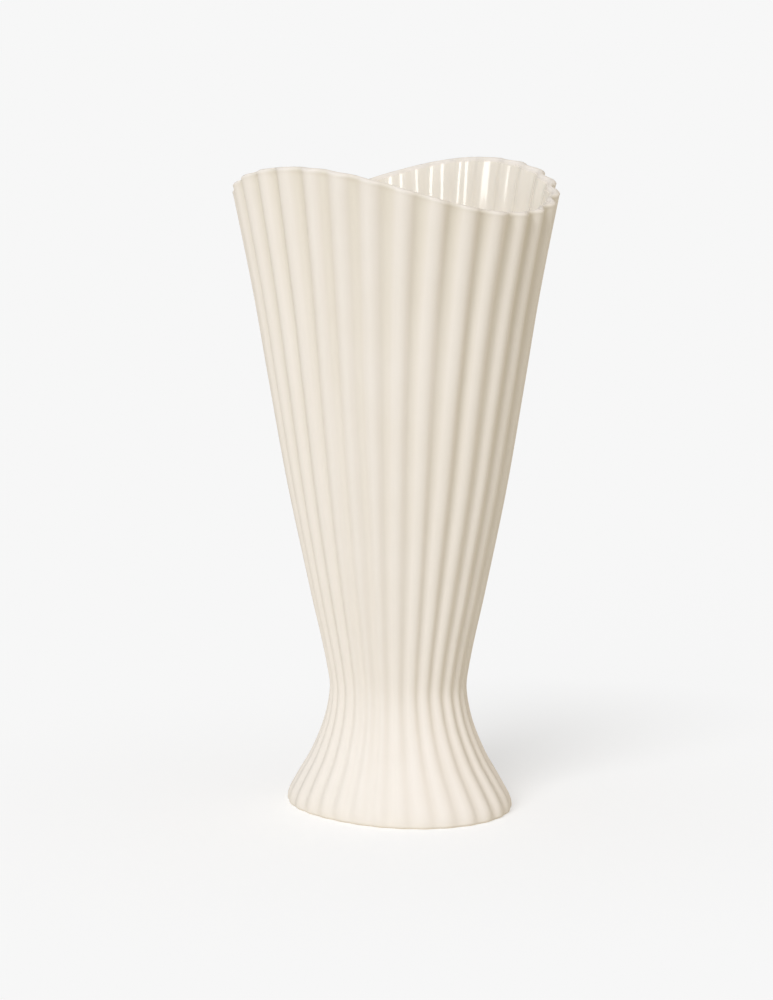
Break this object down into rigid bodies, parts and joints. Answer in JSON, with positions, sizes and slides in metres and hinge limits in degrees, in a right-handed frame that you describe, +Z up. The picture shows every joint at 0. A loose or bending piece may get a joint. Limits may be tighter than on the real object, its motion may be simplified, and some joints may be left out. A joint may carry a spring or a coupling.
{
  "type": "fan vase",
  "caption": "Tall ribbed fan vase with an oval flaring cup, a wavy rim, a pinched waist and a flared foot, glossy inside.",
  "frame": {"origin": "centre of the resting face, under the vase's axis", "axes": "+Z up from the foot to the mouth, +X along the long axis of the oval mouth, where the rim is lowest; the rim is highest on +Y and -Y"},
  "size_m": [0.1596, 0.127, 0.3],
  "materials": {
    "stoneware": "unglazed, matt, cream white",
    "interior_glaze": "clear gloss glaze on cream clay"
  },
  "bodies": {
    "root": {"stoneware_body": "stoneware", "interior_glaze": "interior_glaze"}
  },
  "joints": []
}
